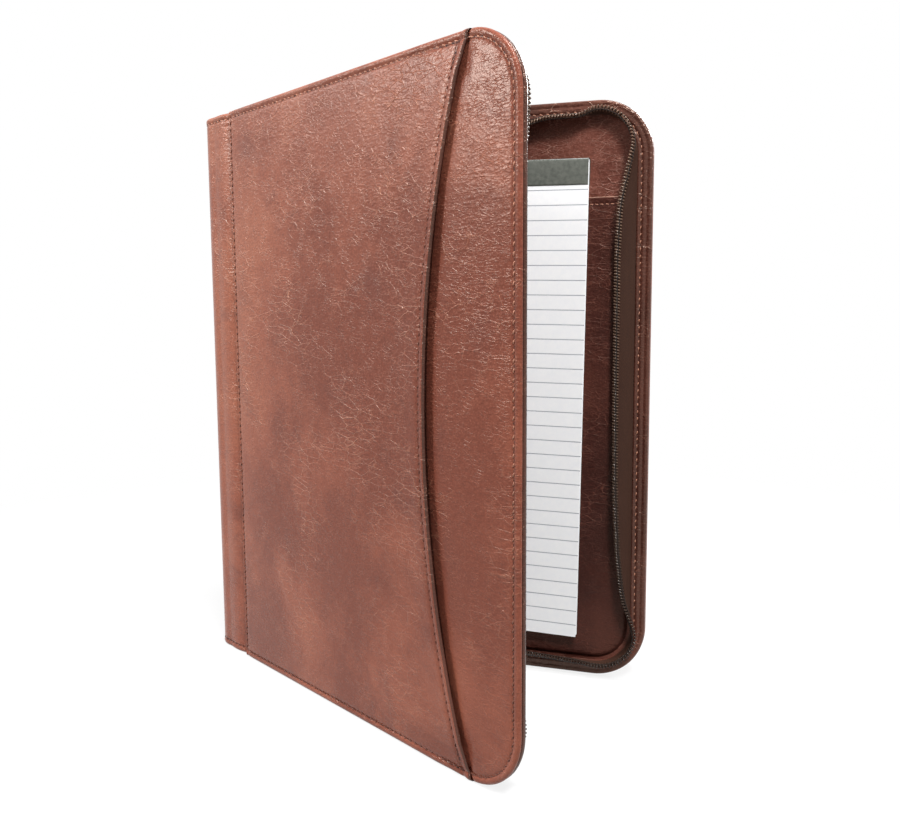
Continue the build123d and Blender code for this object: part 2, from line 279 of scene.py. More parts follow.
# gloss, wrinkling, fineness and shine, then the light, middle, dark, smudge and painted highlight colours;
# the last paints the pale wrinkle and crease lines and the pebble glints
hides = {
    "cover_leather": (0.2, 1.0, 300, 0.22, (163, 98, 76), (150, 86, 67), (127, 69, 54), (108, 63, 55), (228, 164, 134)),
    "facing_leather": (0.2, 1.0, 300, 0.5, (98, 56, 45), (81, 44, 35), (66, 35, 28), (60, 32, 28), (176, 120, 98)),
    "lining_leather": (0.24, 1.9, 360, 0.22, (128, 78, 66), (106, 61, 51), (86, 47, 39), (72, 39, 35), (206, 152, 134)),
    "pocket_leather": (0.26, 1.3, 330, 0.22, (82, 46, 38), (70, 37, 31), (58, 31, 27), (54, 29, 26), (150, 92, 76)),
}
cover_leather, facing_leather, lining_leather, pocket_leather = (leather(name, *hides[name]) for name in hides)
print("leathers:", ", ".join(hides))

# %% [markdown]
# Thread, tape, nylon, metal, paper and board are quieter, but none of them is one flat colour. The
# tape is a herringbone twill, drawn from coordinates that run along and across the ribbon, so its
# ribs follow every bend. The ruled lines are printed on the paper, so they are colour and not shape.

# %% Thread, tape and zip finishes
def simple_finish(name, low, high, rough, scale, bump, metal=0.0, foot=None):
    finish, tree, charts = start_finish(name)
    where = charts["Object"]
    grain = noise(where, scale, 4)
    colour = ramp(grain, (0.3, shade(*low)), (0.7, shade(*high)))
    # foot: a darker colour blended in toward the bottom, painted shade where less light reaches near the table
    if foot:
        rise = ramp(times(axis(where, 2), 3.0), (0.05, 0.0), (0.8, 1.0))
        colour = mixed(rise, shade(*foot), colour)
    rough = plus(times(noise(where, scale * 0.3, 3), 0.25), rough)
    surface(tree, colour, rough, 0.3, (grain, bump, 0.0002)).inputs["Metallic"].default_value = metal
    return finish


# The thread and the zip coil are painted darker toward the bottom: painted shade.
thread = simple_finish("thread", (164, 104, 80), (220, 164, 138), 0.25, 2200, 0.5, foot=(98, 56, 43))
# Dark discs at the needle holes: painted shade inside the holes.
hole_shade = simple_finish("hole_shade", (52, 26, 20), (84, 44, 35), 0.6, 1500, 0.2)
# A darker thread for the seams and the pocket mouth; its darkness is partly the thread's own and partly painted shade
# of the sunk stitch lines.
dark_thread = simple_finish("dark_thread", (78, 42, 33), (126, 78, 61), 0.4, 2200, 0.5)
lining_thread = simple_finish("lining_thread", (128, 80, 62), (186, 134, 108), 0.3, 2200, 0.5)
coil_nylon = simple_finish("coil_nylon", (82, 62, 51), (136, 107, 88), 0.06, 900, 0.1, foot=(50, 37, 30))
coil_thread = simple_finish("coil_thread", (26, 18, 15), (42, 30, 24), 0.6, 1800, 0.4)
aged_brass = simple_finish("aged_brass", (112, 92, 66), (148, 124, 92), 0.2, 260, 0.08, metal=1.0)
cut_edge = simple_finish("cut_edge", (172, 128, 108), (206, 164, 142), 0.5, 1200, 0.3)
grey_board = simple_finish("grey_board", (150, 138, 118), (176, 164, 142), 0.75, 700, 0.25)
binding_cloth = simple_finish("binding_cloth", (74, 77, 71), (96, 98, 91), 0.55, 420, 0.3)
rib_width = 0.0008


def twill(name, low, high):
    finish, tree, charts = start_finish(name)
    slope = plus(axis(charts["UV"], 0), calc("PINGPONG", axis(charts["UV"], 1), 2 * rib_width))
    ribs = plus(times(calc("SINE", times(slope, 2 * math.pi / rib_width)), 0.5), 0.5)
    fuzz = noise(charts["Object"], 900, 3)
    amount = plus(times(ribs, 0.55), times(fuzz, 0.45))
    colour = ramp(amount, (0.25, shade(*low)), (0.75, shade(*high)))
    rough = plus(times(fuzz, 0.2), 0.65)
    surface(tree, colour, rough, 0.15, (ribs, 0.35, 0.0002), (fuzz, 0.2, 0.0001))
    return finish


zip_twill = twill("zip_twill", (46, 28, 21), (72, 47, 36))
elastic_web = twill("elastic_web", (46, 32, 26), (74, 54, 44))
print("twill finishes:", zip_twill.name, elastic_web.name)

# %% [markdown]
# The pad's top sheet carries 31 pale grey ruled lines. Its own flat coordinates, in millimetres from
# the sheet's foot, say where each line falls, so the ruling stays square to the sheet even though the
# pad sits a little askew in its pocket.

# %% Paper
line_step = 8.5
first_line = 262.3
half_line = 0.26


def paper(name, ruled):
    finish, tree, charts = start_finish(name)
    fibre = noise(charts["Object"], 350, 5, 0.7)
    colour = ramp(fibre, (0.3, shade(242, 243, 245)), (0.7, shade(248, 248, 248)))
    if ruled:
        up = axis(charts["UV"], 1)
        in_step = calc("MODULO", minus(first_line + 100 * line_step + line_step / 2, up), line_step)
        off_line = calc("ABSOLUTE", minus(in_step, line_step / 2))
        ink = times(calc("LESS_THAN", off_line, half_line), calc("LESS_THAN", up, first_line + 1))
        ink = times(ink, plus(0.55, times(fibre, 0.4)))
        colour = mixed(ink, colour, shade(112, 116, 130))
    surface(tree, colour, plus(times(fibre, 0.2), 0.6), 0.2, (fibre, 0.12, 0.0001))
    return finish


plain_paper = paper("plain_paper", False)
ruled_paper = paper("ruled_paper", True)
print("ruling every", line_step, "mm from", first_line, "mm up")

# %% [markdown]
# Nearly every piece here is a skin over a grid of points: rows one way, columns the other. Primitives
# and booleans would give hard, even edges, while a grid can carry the rolled rims, sunk stitch lines
# and slight slackness of sewn leather. The helper also records what the piece rides on and replaces.

# %% Skins over a grid of points
def skin(name, points, finish, body=None, replaces=(), outward=None, around=None, closed=False):
    rows, columns = points.shape[:2]
    index = np.arange(rows * columns).reshape(rows, columns)
    if closed:
        index = np.concatenate([index, index[:, :1]], 1)
    quads = np.stack([index[:-1, :-1], index[1:, :-1], index[1:, 1:], index[:-1, 1:]], -1).reshape(-1, 4)
    mesh = bpy.data.meshes.new(name)
    mesh.from_pydata(points.reshape(-1, 3).tolist(), [], quads.tolist())
    if around is not None:
        chart = mesh.uv_layers.new(name="flat")
        corners = np.zeros(len(mesh.loops), np.int32)
        mesh.loops.foreach_get("vertex_index", corners)
        chart.data.foreach_set("uv", around.reshape(-1, 2)[corners].astype(np.float32).ravel())
    work = bmesh.new()
    work.from_mesh(mesh)
    bmesh.ops.remove_doubles(work, verts=work.verts, dist=0.01 * MM)
    bmesh.ops.dissolve_degenerate(work, dist=0.002 * MM, edges=work.edges)
    bmesh.ops.recalc_face_normals(work, faces=work.faces)
    if outward is not None:
        total = sum((f.normal * f.calc_area() for f in work.faces), Vector())
        if total.dot(Vector(outward)) < 0:
            bmesh.ops.reverse_faces(work, faces=work.faces)
    for face in work.faces:
        face.smooth = True
    work.to_mesh(mesh)
    work.free()
    return settle(bpy.data.objects.new(name, mesh), finish, body, replaces)


def settle(piece, finish, body, replaces=()):
    bpy.context.collection.objects.link(piece)
    piece.data.materials.append(finish)
    if body:
        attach(piece, body)
    if replaces:
        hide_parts(*replaces)
    return piece


out_of = {"back": (0, 1, 0), "front": (*front_out, 0)}
into = {side: tuple(-x for x in way) for side, way in out_of.items()}
print("skins ready for", list(covers))

# %% [markdown]
# A cover's edge is a U: along the foot, round a corner, up the free edge, round again and back along
# the head. Each ring of a panel is that U moved inward by its inset. Where the inset passes the corner
# radius the ring simply gets a square corner, so rings can run right in to the middle of the cover.

# %% Rings that follow the cover's edge
def ring(inset, start, run=64, arc=20, side=72):
    corner = max(corner_radius, inset)
    bend = max(corner_radius - inset, 0.0)
    right, low, high = cover_width - corner, corner, cover_height - corner
    across = np.linspace(start, right, run)
    turn = np.radians(np.linspace(-90, 0, arc))
    up = np.linspace(low, high, side)
    u = [across, right + bend * np.cos(turn), np.full(side, right + bend)]
    v = [np.full(run, low - bend), low + bend * np.sin(turn), up]
    u += [(right + bend * np.cos(turn))[::-1], across[::-1]]
    v += [(high - bend * np.sin(turn))[::-1], np.full(run, high + bend)]
    return np.concatenate(u), np.concatenate(v)


def slack(u, v, size):
    wave = np.sin(u / 37 + 1.3) * np.sin(v / 53 + 0.4) + 0.5 * np.sin(u / 19 + v / 41)
    return size * (wave + 0.3 * np.sin(v / 23 - u / 61 + 2.0))


def ringed(place, profile, start, softness=0.0, shift=None):
    rows = []
    for inset, depth in profile:
        u, v = ring(inset, start)
        ease = min(max((inset - 4) / 12, 0), 1)
        level = depth + slack(u, v, softness * ease)
        if shift is not None:
            u, v, level = shift(u, v, level, inset)
        rows.append(place(u, v, level))
    return np.stack(rows)


print("points in one ring:", len(ring(0, 0)[0]))

# %% [markdown]
# The turned edge is what makes the cover look sewn: the leather rolls round the board, a rounded welt
# stands outside the stitches, and the stitches pull a narrow groove. One list of insets and depths
# draws that section, and the rings sweep it round the cover. The front base leather is let in a little
# where the slip pocket wraps over it, which leaves the small step seen at each end of the pocket mouth.

# %% Cover leather
rim_stitch = 3.85
turned_edge = [
    (2.0, 2.0), (0.9, 2.05), (0.35, 1.98), (0.1, 1.75), (0.0, 1.35), (0.06, 0.8), (0.4, 0.22), (0.9, -0.12),
    (1.6, -0.27), (2.4, -0.22), (3.1, 0.02), (3.5, 0.28), (rim_stitch, 0.4), (4.2, 0.28), (4.65, 0.08), (5.4, -0.06),
]
field_insets = [6.5, 9, 12, 16, 21, 27, 31, 36, 44, 54, 66, 80, 96, 114, 132, 150, 168]
mouth_end = 228.5
mouth_sag = 28.0


def field(rise):
    return turned_edge + [(inset, -0.1 - rise * min((inset - 4) / 20, 1)) for inset in field_insets]


def mouth(v):
    half = cover_height / 2
    radius = (half * half + mouth_sag * mouth_sag) / (2 * mouth_sag)
    return mouth_end - mouth_sag + radius - np.sqrt(radius * radius - (v - half) ** 2)


pocket_step = 0.75


def let_in_under_pocket(u, v, level, inset):
    step = pocket_step * np.clip((mouth_end + 0.6 - u) / 1.6, 0, 1) * (inset < 20)
    v = np.where(v < cover_height / 2, v + step, v - step)
    pressed = np.clip((mouth(v) + 2.5 - u) / 4, 0, 1) * min(max((inset - 3) / 8, 0), 1)
    return u, v, level + np.maximum(step, pressed)


front_points = ringed(on_front, field(0.25), 26.0, 0.12, let_in_under_pocket)
front_solids = ("front_cover_skin", "front_cover_padding")
front_leather = skin(
    "front_base_leather", front_points, cover_leather, "front_cover", front_solids, out_of["front"]
)


def proud(depth):
    return depth - 0.9 * np.clip(1.2 - depth, 0, 1)


def back_face(u, v, depth):
    return on_back(u, v, proud(depth))


back_points = ringed(back_face, field(0.35), seam_at + 8.0, 0.12)
back_solids = ("back_cover_skin", "back_cover_padding")
back_leather = skin(
    "back_outer_leather", back_points, cover_leather, "back_cover", back_solids, out_of["back"]
)
print("cover leather faces:", len(front_leather.data.polygons), len(back_leather.data.polygons))

# %% [markdown]
# The slip pocket covers most of the front. It is a single leather panel, turned under at the seam,
# sewn into the head and foot rims, and hemmed along a mouth that is one long arc. The hem is rolled,
# so it stands proud and throws the dark line beside it, and its very lip is given the darker facing
# leather as painted shade on its shaded side. Rows run up the panel and columns across, and the two
# sections, rim and hem, simply add together.

# %% Front slip pocket
rim_inset, rim_depth = np.array(turned_edge).T
inner_rows = np.linspace(6.5, cover_height - 6.5, 96)
pocket_v = np.concatenate([rim_inset, inner_rows, cover_height - rim_inset[::-1]])
pocket_rim = np.concatenate([rim_depth, np.full_like(inner_rows, -0.1), rim_depth[::-1]])
deepest_turn = 2.4
seam_section = [
    (0.0, 1.75), (0.05, 0.2), (0.3, -0.25), (0.8, -0.5), (1.4, -0.42), (1.8, -0.12), (2.2, -0.08), (2.7, -0.34),
    (3.6, -0.5), (6.0, -0.6),
]
hem_width = 14.0
hem_section = [
    (-hem_width, -0.7), (-11.0, -0.72), (-8.5, -0.72), (-6.6, -0.6), (-5.8, -0.36), (-5.3, -0.26), (-4.8, -0.4),
    (-4.0, -0.8), (-3.1, -1.2), (-2.2, -1.4), (-1.2, -1.34), (-0.4, -1.0), (0.0, -0.6), (-0.1, -0.25), (-0.5, -0.02),
    (-3.0, 0.1),
]
lip_gape = 2.7
lip_shade_width = 1.3


def gape(v):
    return lip_gape * np.sin(np.pi * (v / cover_height)) ** 0.4


flat = np.clip((np.minimum(pocket_v, cover_height - pocket_v) - 3) / 14, 0, 1)
columns = [(seam_at + away, depth) for away, depth in seam_section]
for share in np.linspace(0.05, 0.95, 56):
    u = seam_at + 6 + share * (mouth(pocket_v) - hem_width - seam_at - 6)
    sag = 0.1 * flat - slack(u, pocket_v, 0.14) * flat
    columns.append((u, -0.65 - gape(pocket_v) * share ** 8 * 0.55 - sag))
for away, depth in hem_section:
    lift = gape(pocket_v) * (0.55 + 0.45 * np.clip((away + hem_width) / 11, 0, 1))
    columns.append((mouth(pocket_v) + away, depth * (0.55 + 0.45 * flat) - lift * flat))
columns = [on_front(u, pocket_v, np.minimum(pocket_rim + depth, deepest_turn)) for u, depth in columns]
front_pocket = skin(
    "front_slip_pocket", np.stack(columns, 1), cover_leather, "front_cover", ("front_pocket",),
    out_of["front"],
)
# Painted shade: the faces along the lip take the darker facing leather.
front_pocket.data.materials.append(facing_leather)
for face in front_pocket.data.polygons:
    along_cover = (np.array(face.center)[:2] / MM - front_corner) @ front_along
    face.material_index = int(along_cover > mouth(face.center.z / MM) - lip_shade_width)

# %% [markdown]
# Looking in under the hem, the eye meets the shaded inside of the pocket. A dark strip laid on the
# base leather just inside the mouth is painted shade that stands for it. It follows the arc of the
# mouth and stops short of the lip.

# %% Painted shade inside the slip pocket
end_room = 14.0
shade_v = np.linspace(end_room, cover_height - end_room, 90)
shade_columns = []
for away in (-16.0, -12.0, -8.0, -5.0, -3.0, -1.8):
    u = mouth(shade_v) + away
    shade_columns.append(on_front(u, shade_v, -0.5 + slack(u, shade_v, 0.12)))
pocket_shade_strip = skin(
    "front_pocket_painted_shade", np.stack(shade_columns, 1), facing_leather, "front_cover",
    outward=out_of["front"],
)
print("inside strip points:", len(pocket_shade_strip.data.vertices))

# %% [markdown]
# The back has no pocket, but its leather is turned under at the same seam. That narrow turned edge is a
# panel of its own: it climbs from the spine strip, rounds over and runs a few millimetres on to the
# back, with a groove where the seam's stitches lie.

# %% Turned edge on the back
seam_climb = [
    (0.0, 0.0), (0.0, 0.35), (0.08, 0.7), (0.3, 0.92), (0.8, 1.04), (1.4, 1.0), (1.75, 0.93), (2.05, 0.88),
    (2.35, 0.93), (2.8, 1.0), (4.0, 1.02), (6.0, 1.02), (8.0, 1.01), (9.2, 1.0),
]
from_end = np.minimum(pocket_v, cover_height - pocket_v)
back_level = np.where(from_end > 6, -0.1 - 0.35 * np.clip((from_end - 4) / 20, 0, 1), pocket_rim)
raised = proud(back_level) - 0.05
sunk = np.minimum(back_level + 2.1, deepest_turn)
climb = []
for away, share in seam_climb:
    wave = slack(seam_at + away, pocket_v, 0.12) * np.clip((from_end - 4) / 12, 0, 1)
    climb.append(on_back(seam_at + away, pocket_v, (1 - share) * sunk + share * raised + wave * (share > 0.5)))
back_seam_edge = skin(
    "back_seam_edge", np.stack(climb, 1), cover_leather, "back_cover", (), out_of["back"]
)
print("turned edge stands up to", round(float((sunk - raised).max()), 2), "mm above the strip")

# %% [markdown]
# The spine is one strip of leather sewn to both covers, bent round a soft half-round roll. Its section
# is drawn once as a line through both strips and the roll, then smoothed so the two valley folds are
# soft. The strip has to bend at two folds, and a blend works across one joint, so it is two halves
# that meet along the middle of the roll.

# %% Spine leather
def on_plan(side, u, depth):
    return covers[side][0](u, 0.0, depth)[..., :2] / MM


def roll(radius, first, last, count):
    angle = np.radians(np.linspace(first, last, count))
    return spine_middle + radius * np.stack([np.cos(angle), np.sin(angle)], -1)


def travelled(line):
    return np.concatenate([[0], np.cumsum(np.linalg.norm(np.diff(line, axis=0), axis=1))])


def at_lengths(places, lengths, line):
    return np.stack([np.interp(places, lengths, line[:, k]) for k in range(line.shape[1])], -1)


def resample(line, count):
    lengths = travelled(line)
    return at_lengths(np.linspace(0, lengths[-1], count), lengths, line)


def smoothed(line, passes):
    for _ in range(passes):
        line = np.concatenate([line[:1], (line[:-2] + 2 * line[1:-1] + line[2:]) / 4, line[-1:]])
    return line


def unit(arrows):
    return arrows / np.linalg.norm(arrows, axis=-1)[..., None]


def stood(flat, v):
    return np.concatenate([flat, np.full((len(flat), 1), v)], 1) * MM


fold_turn = math.degrees(opening) / 2
first_angle, last_angle = 270 - fold_turn, 90 - fold_turn


def spine_plan(u, depth, radius, lap, arc, count, passes):
    front, back = on_plan("front", u, depth), on_plan("back", u[::-1], depth[::-1])
    line = np.concatenate([front, roll(radius, first_angle - lap, last_angle + lap, arc), back])
    return smoothed(resample(line, count), passes)


def bend(side, radius, past, depth):
    end = roll(radius, first_angle - past if side == "front" else last_angle + past, 0, 2)[0]
    return tuple(covers[side][0](5.0, 0, depth)), (*(end * MM), 0)


strip_u = np.array([24.8, 22.5, 20.5, 18.5, 16.0, 12.0, 8.0, 4.0, 1.5])
strip_depth = np.array([1.2, 1.4, 1.5, 1.2, 0.6, -0.2, -0.5, -0.4, -0.1])
plan = spine_plan(strip_u, strip_depth, spine_radius, 6, 40, 181, 6)
along = unit(np.gradient(plan, axis=0))
plan_out = np.stack([-along[:, 1], along[:, 0]], -1)
end_rows = [(0.9, 2.6), (0.25, 2.5), (0.0, 2.1), (0.0, 1.2)] + turned_edge[5:] + [(6.0, 0.0), (12.0, 0.0)]
end_inset, end_depth = np.array(end_rows).T
strip_v = np.concatenate([end_inset, np.linspace(20, cover_height - 20, 48), cover_height - end_inset[::-1]])
strip_in = np.concatenate([end_depth, np.zeros(48), end_depth[::-1]])
middle = len(plan) // 2
halves = (
    ("front", slice(0, middle + 1), ("front_hinge_strip", "spine_wrap")),
    ("back", slice(middle, None), ("back_hinge_strip",)),
)
for side, chosen, stands_for in halves:
    points = [stood(plan[chosen] - depth * plan_out[chosen], v) for v, depth in zip(strip_v, strip_in)]
    strip = skin(side + "_spine_leather", np.stack(points), cover_leather, None, stands_for)
    bend(side, spine_radius, 24, 0)
    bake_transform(strip)

# %% [markdown]
# Inside each cover a leather facing hides the zip's sewn edge. It is a narrow U band with a rounded
# outer bead and its own line of stitches near the inner edge. A sweep of one section does it, and the
# lining under it is the same ring idea with almost no relief.

# %% Rim facings and linings
facing_stitch = 6.5
facing_section = [
    (2.2, 2.45), (1.0, 2.4), (0.45, 2.5), (0.18, 2.85), (0.1, 3.5), (0.2, 4.2), (0.45, 4.7), (0.9, 5.02),
    (1.5, 5.12), (2.2, 5.05), (2.9, 4.85), (3.3, 4.78), (3.8, 4.88), (4.8, 5.0), (5.7, 4.9), (6.2, 4.66),
    (facing_stitch, 4.55), (6.8, 4.64), (7.3, 4.86), (8.0, 4.98), (8.6, 4.9), (8.95, 4.6), (8.9, 4.3), (8.5, 4.15),
]
lining_inset, lining_start = 7.6, 1.2
lining_section = [(lining_inset, 3.55)] + [(inset, 3.5) for inset in field_insets[1:]]
for side, (place, body) in covers.items():
    band = ringed(place, facing_section, 0.9)
    skin(side + "_facing_band", band, facing_leather, body, (side + "_rim_facing",), into[side])
    flat = ringed(place, lining_section, lining_start, 0.06)
    inner = skin(side + "_inner_lining", flat, lining_leather, body, (side + "_lining",), into[side])
print("facing section has", len(facing_section), "points")

# %% [markdown]
# The spine's lining bridges the two inner linings. It could be one sheet, but like the leather outside
# it has two folds to follow, so it is made in the same two halves on a smaller roll.

# %% Spine lining
lining_radius = 12.3
lining_u = np.array([7.0, 4.0, 1.6])
lining_depth = np.array([3.62, 3.6, 3.4])
lining_plan = spine_plan(lining_u, lining_depth, lining_radius, 10, 30, 101, 4)
lining_end = np.array([0.4, 0.8, 2.0])
lining_v = np.concatenate([lining_end, np.linspace(8, cover_height - 8, 40), cover_height - lining_end[::-1]])
for side, chosen in (("front", slice(0, 51)), ("back", slice(50, None))):
    points = np.stack([stood(lining_plan[chosen], v) for v in lining_v])
    stands_for = ("spine_lining", "spine_stiffener") if side == "front" else ()
    strip = skin(side + "_spine_lining", points, lining_leather, None, stands_for)
    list(bend(side, lining_radius, 26, 3.5))
    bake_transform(strip)

# %% [markdown]
# The zip tape is a woven ribbon sewn under the facing. It stands up at the ends and the corners and
# lies over along the straight runs, because the coil keeps its own length. The lean is written as a
# few places along the U with the coil's distance from the edge, and each cross section is a soft curve
# from the facing to the coil. Where the slider stops at the far end of its run the back coil is held
# straight for it, and just past that it lies a little lower, so that the pull can rest on top.

# %% Zip tape
zip_start = 10.0
tape_root = 9.0
tape_free = 10.3
tape_level = 4.2
least_rise = 4.0
deepest_coil = 10.8
slider_inset = 9.42
pull_room = 1.7
bottom_run = cover_width - corner_radius - zip_start
quarter = (corner_radius - tape_root) * math.pi / 2
side_run = cover_height - 2 * corner_radius
zip_length = 2 * bottom_run + 2 * quarter + side_run


def along_edge(distance):
    marks = np.cumsum([bottom_run, quarter, side_run, quarter, bottom_run])
    right, high = cover_width - corner_radius, cover_height - corner_radius
    angle = np.radians(-90 + 90 * np.interp(distance, marks[:4], [0, 1, 1, 2]))
    u = np.interp(distance, [0, *marks[[0, 3, 4]]], [zip_start, right, right, zip_start])
    v = np.interp(distance, marks[1:3], [corner_radius, high])
    return u, v, np.cos(angle), np.sin(angle)


lean = {
    "back": {
        "foot": [(10, 9.2), (50, 9.3), (110, 11.5), (190, 10.8), (222, 9.2)],
        "corner": 6.0,
        "side": [
            (27, 4.6), (36, 7.5), (50, 12.3), (75, 15.4), (115, 17.6), (168, 18.3), (247, 18.4), (277, 17.0),
            (300, 11.8), (315, 8.8),
        ],
        "head": [(236, 6.4), (226, 5.6), (208, 8.9), (186, 12.6), (150, 14.0), (95, 13.2), (52, 9.6), (10, 9.2)],
    },
    "front": {
        "foot": [(10, 9.2), (60, 9.8), (140, 13.5), (205, 11.0)],
        "corner": 8.6,
        "side": [
            (26, 7.4), (34, 8.4), (45, 11.0), (80, 13.5), (170, 15.6), (250, 13.8), (285, 8.6), (303, 7.2),
            (316, 7.0),
        ],
        "head": [(246, 7.6), (205, 9.0), (140, 13.0), (60, 9.8), (10, 9.2)],
    },
}


def lean_marks(runs):
    marks = [(u - zip_start, inset) for u, inset in runs["foot"]]
    marks.append((bottom_run + 0.5 * quarter, runs["corner"]))
    marks += [(bottom_run + quarter + v - corner_radius, inset) for v, inset in runs["side"]]
    return marks + [(zip_length - (u - zip_start), inset) for u, inset in runs["head"]]


def gentle(share):
    return share * share * (3 - 2 * share)


even = np.linspace(0, zip_length, 400)
coil_inset = {side: smoothed(np.interp(even, *np.array(lean_marks(runs)).T), 14) for side, runs in lean.items()}


def coil_line(side, distance):
    inset = np.interp(distance, even, coil_inset[side])
    dip = 0.0
    if side == "back":
        head_u = zip_start + zip_length - distance
        held = gentle(np.interp(head_u, [184, 203, 213, 227], [0, 1, 1, 0]))
        inset = inset + held * (slider_inset - inset)
        dip = np.interp(head_u, [214.5, 219.5, 238, 252], [0, pull_room, pull_room, 0])
    rise = np.sqrt(np.maximum(tape_free ** 2 - (inset - tape_root) ** 2, least_rise ** 2))
    return inset, np.minimum(tape_level + rise, deepest_coil) - dip


def edge_point(side, distance, inset, depth):
    u, v, cu, cv = along_edge(distance)
    away = corner_radius - inset
    return covers[side][0](u + away * cu, v + away * cv, depth)


flange = ((0.3, 2.22), (1.5, 2.25), (3.0, 2.5), (5.5, 3.1))
flange_width, flange_depth = 8.4, 4.05
free_width = 11.0
knee_depth = 4.25


def tape_section(side, distance, share):
    inset, depth = coil_line(side, distance)
    bend_inset = 9.1 + 0.25 * (inset - tape_root)
    bend_depth = knee_depth + 0.72 * (depth - knee_depth)
    a, b, c = (1 - share) ** 2, 2 * share * (1 - share), share ** 2
    return a * flange_width + b * bend_inset + c * inset, a * flange_depth + b * bend_depth + c * depth


travel = np.linspace(0, zip_length, 430)
across = np.concatenate([[0, 1.2, 2.7, 5.3], flange_width + np.linspace(0, free_width, 11)])
chart = np.stack(np.meshgrid(travel * MM, across * MM), -1)
for side, (place, body) in covers.items():
    rows = [edge_point(side, travel, inset, depth) for inset, depth in flange]
    rows += [edge_point(side, travel, *tape_section(side, travel, share)) for share in np.linspace(0, 1, 11)]
    stands_for = (side + "_zip_tape",)
    tape = skin(side + "_tape_ribbon", np.stack(rows), zip_twill, body, stands_for, around=chart)
print("each zip tape is", round(zip_length), "mm long")

# %% [markdown]
# A coil zip's teeth are one nylon thread wound into a flattened spiral and sewn along the tape. Single
# teeth could be copied along the edge, but a real wound spiral catches the light the same way as the
# thing itself, so the thread's centre is worked out turn by turn and given a small round section. Two
# sewing cords, one on each face, hold it to the tape.

# %% Zip coils
def circle(count):
    angle = np.linspace(0, 2 * math.pi, count, endpoint=False)[:, None]
    return np.cos(angle), np.sin(angle)


def tube(centre, thickness, sides):
    ahead = unit(np.gradient(centre, axis=0))
    helper = np.where(np.abs(ahead[:, 2:]) < 0.9, [[0.0, 0.0, 1.0]], [[1.0, 0.0, 0.0]])
    one = unit(np.cross(ahead, helper))
    two = np.cross(ahead, one)
    cosine, sine = circle(sides)
    return centre[:, None] + thickness * (cosine * one[:, None] + sine * two[:, None])


coil_step = 1.7
coil_start = 4.4
turn_samples = 10
filament, cord = 0.42, 0.3


def coil_frame(side, distance):
    edge = edge_point(side, distance, *coil_line(side, distance))
    outward = unit(edge - edge_point(side, distance, *tape_section(side, distance, 0.9)))
    return edge, outward, np.cross(outward, unit(np.gradient(edge, axis=0)))


turns = int((zip_length - 2 * coil_start) / coil_step)
travel = np.linspace(coil_start, zip_length - coil_start, turns * turn_samples + 1)
phase = 2 * math.pi * np.arange(len(travel))[:, None] / turn_samples
calm = travel[::4]
weave = 0.12 * np.sin(2 * math.pi * calm / coil_step)[:, None]
for side, (place, body) in covers.items():
    edge, outward, over = coil_frame(side, travel)
    wound = edge + MM * ((0.4 + 1.6 * np.cos(phase)) * outward + 0.75 * np.sin(phase) * over)
    turns_of_coil = tube(wound, filament * MM, 6)
    skin(side + "_coil", turns_of_coil, coil_nylon, body, (side + "_zip_coil",), closed=True)
    edge, outward, over = coil_frame(side, calm)
    for name, face in (("inner", 1.0), ("outer", -1.0)):
        cord_line = edge + MM * ((0.2 + weave) * outward + face * 1.05 * over)
        skin(f"{side}_coil_{name}_sewing", tube(cord_line, cord * MM, 5), coil_thread, body, closed=True)
    print(side, "coil has", turns, "turns")

# %% [markdown]
# Stitches are short lengths of thread that dip into the leather at both ends. They could be bump in a
# material, but real lozenges catch the light and show from every side. One small stitch is drawn once
# and set along each sewn line, with its own slight change of size and slant.

# %% Stitches
dice = np.random.default_rng(7)
stations = np.array([-0.5, -0.4, -0.15, 0.15, 0.4, 0.5])[:, None]
swell = np.array([0.3, 0.75, 1.0, 1.0, 0.75, 0.3])[:, None, None]
sink = np.array([-0.38, -0.08, 0.12, 0.12, -0.08, -0.38])[:, None]
around, hole_around = 7, 8
stitch_points = around * len(stations)
stitch_faces = [
    [loop + m, loop + (m + 1) % around, loop + around + (m + 1) % around, loop + around + m]
    for loop in range(0, stitch_points - around, around) for m in range(around)
]
stitch_faces += [range(around - 1, -1, -1), range(stitch_points - around, stitch_points)]


